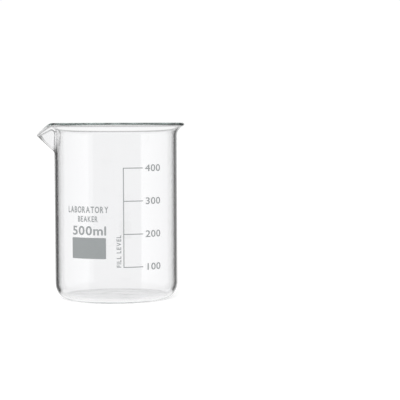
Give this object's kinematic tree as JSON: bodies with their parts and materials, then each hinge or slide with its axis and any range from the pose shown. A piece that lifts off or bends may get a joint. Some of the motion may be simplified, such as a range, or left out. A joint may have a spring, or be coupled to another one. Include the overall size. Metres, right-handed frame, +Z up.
{
  "type": "laboratory beaker",
  "caption": "Low-form glass laboratory beaker with a pouring spout, flared beaded rim, rounded base corner and a printed grey volume scale.",
  "frame": {"origin": "centre of the flat underside, on the vessel's axis", "axes": "+Z up along the vessel's axis, -X towards the pouring spout, -Y towards the printed face"},
  "size_m": [0.0988, 0.0924, 0.118],
  "materials": {
    "borosilicate_glass": "clear, polished",
    "grey_enamel": "fired, satin"
  },
  "bodies": {
    "root": {"capacity_1": "grey_enamel", "capacity_2": "grey_enamel", "capacity_3": "grey_enamel", "capacity_4": "grey_enamel", "capacity_5": "grey_enamel", "caption_bottom_1": "grey_enamel", "caption_bottom_2": "grey_enamel", "caption_bottom_3": "grey_enamel", "caption_bottom_4": "grey_enamel", "caption_bottom_5": "grey_enamel", "caption_bottom_6": "grey_enamel", "caption_top_1": "grey_enamel", "caption_top_10": "grey_enamel", "caption_top_2": "grey_enamel", "caption_top_3": "grey_enamel", "caption_top_4": "grey_enamel", "caption_top_5": "grey_enamel", "caption_top_6": "grey_enamel", "caption_top_7": "grey_enamel", "caption_top_8": "grey_enamel", "caption_top_9": "grey_enamel", "glass_vessel": "borosilicate_glass", "marking_patch": "grey_enamel", "numeral_100_1": "grey_enamel", "numeral_100_2": "grey_enamel", "numeral_100_3": "grey_enamel", "numeral_200_1": "grey_enamel", "numeral_200_2": "grey_enamel", "numeral_200_3": "grey_enamel", "numeral_300_1": "grey_enamel", "numeral_300_2": "grey_enamel", "numeral_300_3": "grey_enamel", "numeral_400_1": "grey_enamel", "numeral_400_2": "grey_enamel", "numeral_400_3": "grey_enamel", "scale_bracket": "grey_enamel", "scale_caption_1": "grey_enamel", "scale_caption_10": "grey_enamel", "scale_caption_2": "grey_enamel", "scale_caption_3": "grey_enamel", "scale_caption_4": "grey_enamel", "scale_caption_6": "grey_enamel", "scale_caption_7": "grey_enamel", "scale_caption_8": "grey_enamel", "scale_caption_9": "grey_enamel"}
  },
  "joints": []
}
